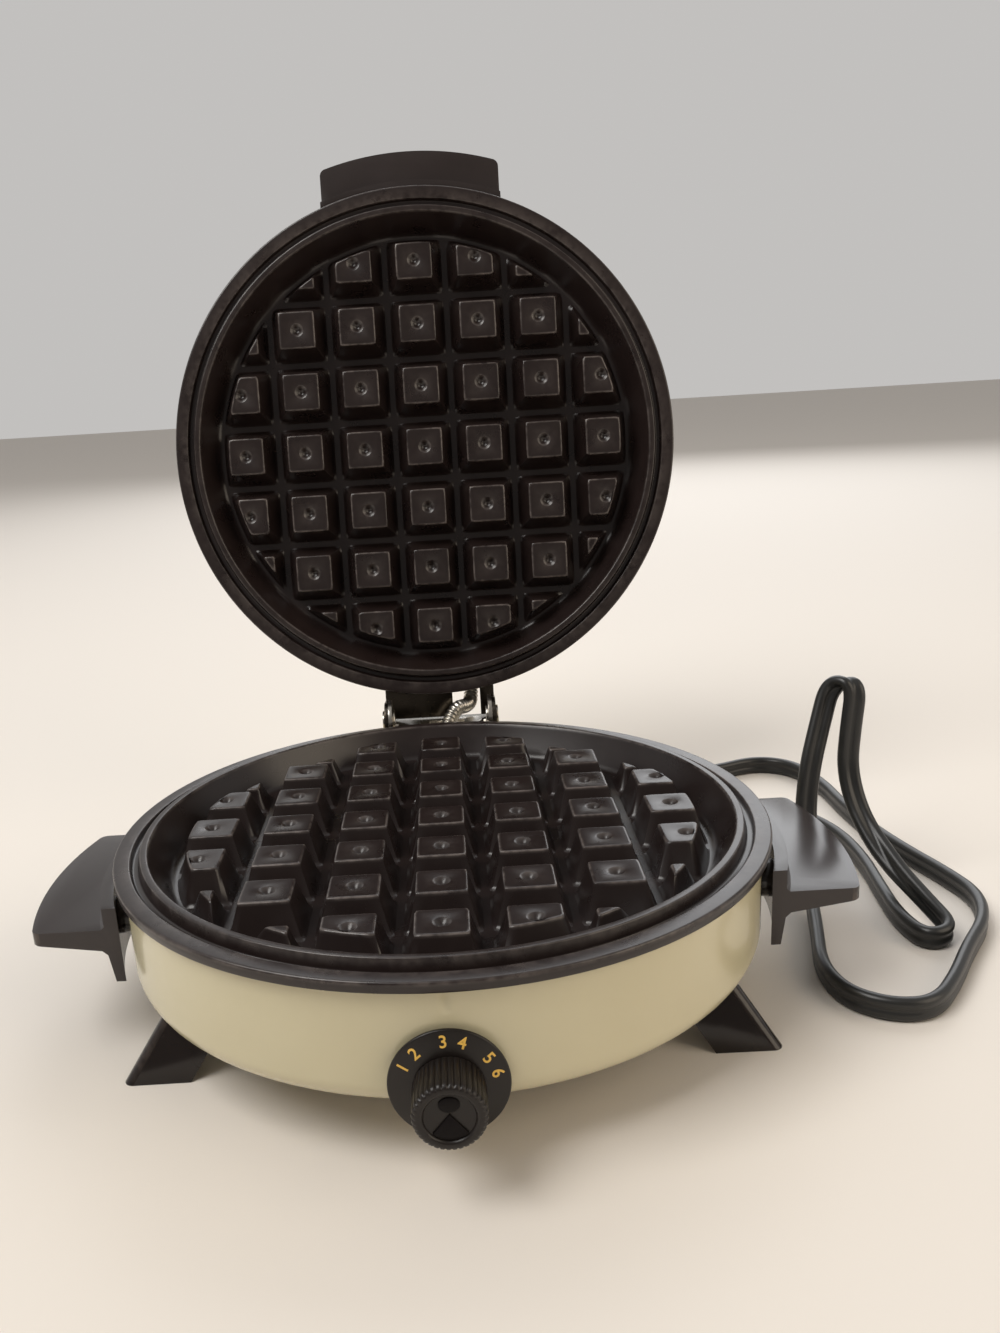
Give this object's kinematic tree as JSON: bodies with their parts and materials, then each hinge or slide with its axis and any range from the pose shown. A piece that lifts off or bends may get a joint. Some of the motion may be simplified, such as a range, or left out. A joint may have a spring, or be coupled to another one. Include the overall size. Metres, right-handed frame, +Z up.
{
  "type": "belgian waffle maker",
  "caption": "Round electric waffle maker on splayed feet, its hinged lid open: deep square-post grids, side handles, heat dial and a flat cord with plug.",
  "frame": {"origin": "centre of the standing footprint of the open machine without its cord, on the table", "axes": "+Z up, front with the dial towards -Y, hinge along X at the rear"},
  "size_m": [0.3222, 0.311, 0.2851],
  "materials": {
    "enamel": "cream baked enamel, gloss",
    "nonstick": "cast aluminium, worn dark non-stick coat",
    "phenolic_brown": "dark brown-grey phenolic, satin",
    "phenolic_black": "black phenolic, gloss",
    "zinc_steel": "zinc-plated steel",
    "nickel_plate": "nickel-plated steel, a little dulled",
    "conduit_steel": "wound steel strip",
    "element_steel": "heat-darkened sheath",
    "spring_steel": "spring strip",
    "bright_aluminium": "bright rolled sheet",
    "ceramic": "unglazed steatite, stated as matte plastic",
    "brass": "plain brass",
    "cord_rubber": "black flexible rubber"
  },
  "bodies": {
    "base": {"base_shell": "enamel", "bottom_cover": "zinc_steel", "cover_screws": "zinc_steel", "lower_grid_plate": "nonstick", "base_tie_screws": "zinc_steel", "lower_heating_element": "element_steel", "lower_element_clips": "spring_steel", "lower_reflector": "bright_aluminium", "lower_insulators": "ceramic", "thermostat_bracket": "zinc_steel", "thermostat_body": "ceramic", "bimetal_blade": "spring_steel", "thermostat_bushing": "brass", "left_foot": "phenolic_black", "right_foot": "phenolic_black", "rear_foot": "phenolic_black", "foot_screws": "zinc_steel", "left_handle": "phenolic_brown", "right_handle": "phenolic_brown", "left_handle_spacers": "phenolic_black", "right_handle_spacers": "phenolic_black", "base_handle_screws": "zinc_steel", "hinge_base_bracket": "nickel_plate", "base_bracket_screws": "zinc_steel", "hinge_pins": "nickel_plate", "conduit": "conduit_steel", "conduit_base_bushing": "zinc_steel", "strain_relief": "cord_rubber", "cord": "cord_rubber", "plug_body": "cord_rubber", "plug_blades": "brass"},
    "lid": {"lid_shell": "enamel", "upper_grid_plate": "nonstick", "lid_tie_screws": "zinc_steel", "upper_heating_element": "element_steel", "upper_element_clips": "spring_steel", "upper_reflector": "bright_aluminium", "upper_insulators": "ceramic", "lid_handle": "phenolic_brown", "lid_handle_spacers": "phenolic_black", "lid_handle_screws": "zinc_steel", "hinge_lid_bracket": "nickel_plate", "lid_bracket_screws": "zinc_steel", "conduit_lid_bushing": "zinc_steel"},
    "dial": {"thermostat_spindle": "zinc_steel", "dial_skirt": "phenolic_brown", "dial_knob": "phenolic_brown"}
  },
  "joints": [
    {"name": "lid_hinge", "type": "hinge", "parent": "base", "child": "lid", "pos_m": [0, 0.07639, 0.05497], "axis": [1, 0, 0], "range_deg": [0, 99.85], "deforming": ["conduit"]},
    {"name": "dial_turn", "type": "hinge", "parent": "base", "child": "dial", "pos_m": [0, -0.14047, 0.0274], "axis": [0, -1, 0], "range_deg": [-60, 60]}
  ]
}
